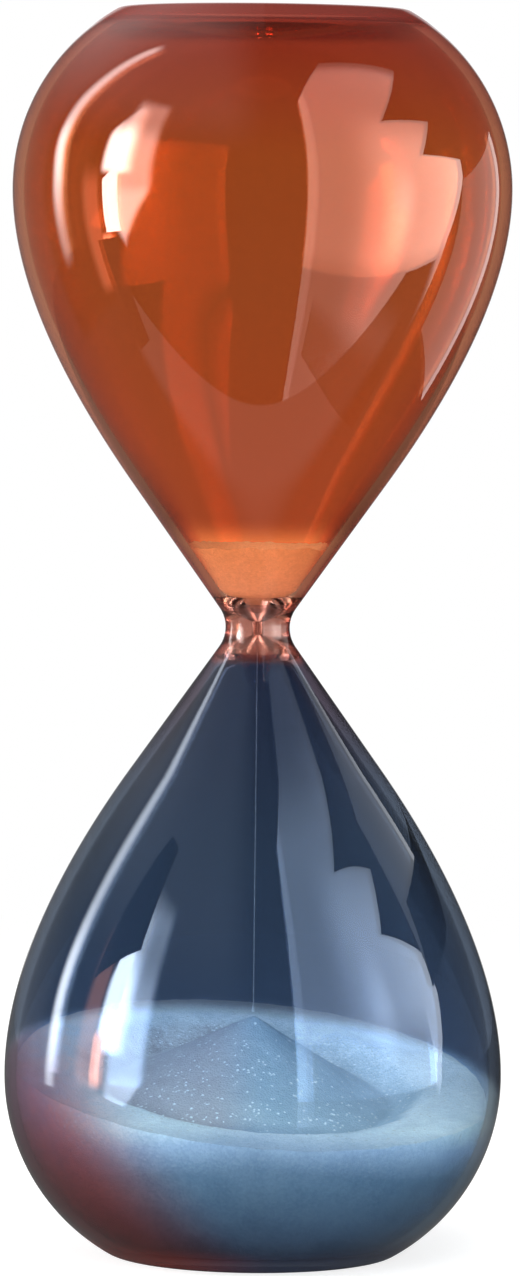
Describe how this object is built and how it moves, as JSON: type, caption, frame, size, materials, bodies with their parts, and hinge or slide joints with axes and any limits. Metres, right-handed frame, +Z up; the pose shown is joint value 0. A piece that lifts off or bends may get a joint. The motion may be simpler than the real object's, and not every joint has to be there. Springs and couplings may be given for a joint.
{
  "type": "hourglass",
  "caption": "Frameless hourglass of blown glass: amber and smoke-blue bulbs fused to a thick clear neck, flat ends to stand on, white sand running down.",
  "frame": {"origin": "middle of the lower flat end, on the surface that the hourglass stands on", "axes": "+Z up through the neck; the lower sand's bed slopes down towards -Y and a little towards +X"},
  "size_m": [0.09, 0.09, 0.225],
  "materials": {
    "amber_glass": "clear amber glass, fire-polished",
    "blue_glass": "clear smoke-blue glass, fire-polished",
    "clear_glass": "clear glass with a faint pink cast, fire-polished",
    "white_sand": "fine matt white glass-bead sand with a few sparkling grains"
  },
  "bodies": {
    "root": {"upper_bulb": "amber_glass", "lower_bulb": "blue_glass", "neck": "clear_glass", "fill_seal": "amber_glass", "upper_sand": "white_sand", "lower_sand": "white_sand", "sand_stream": "white_sand"}
  },
  "joints": []
}
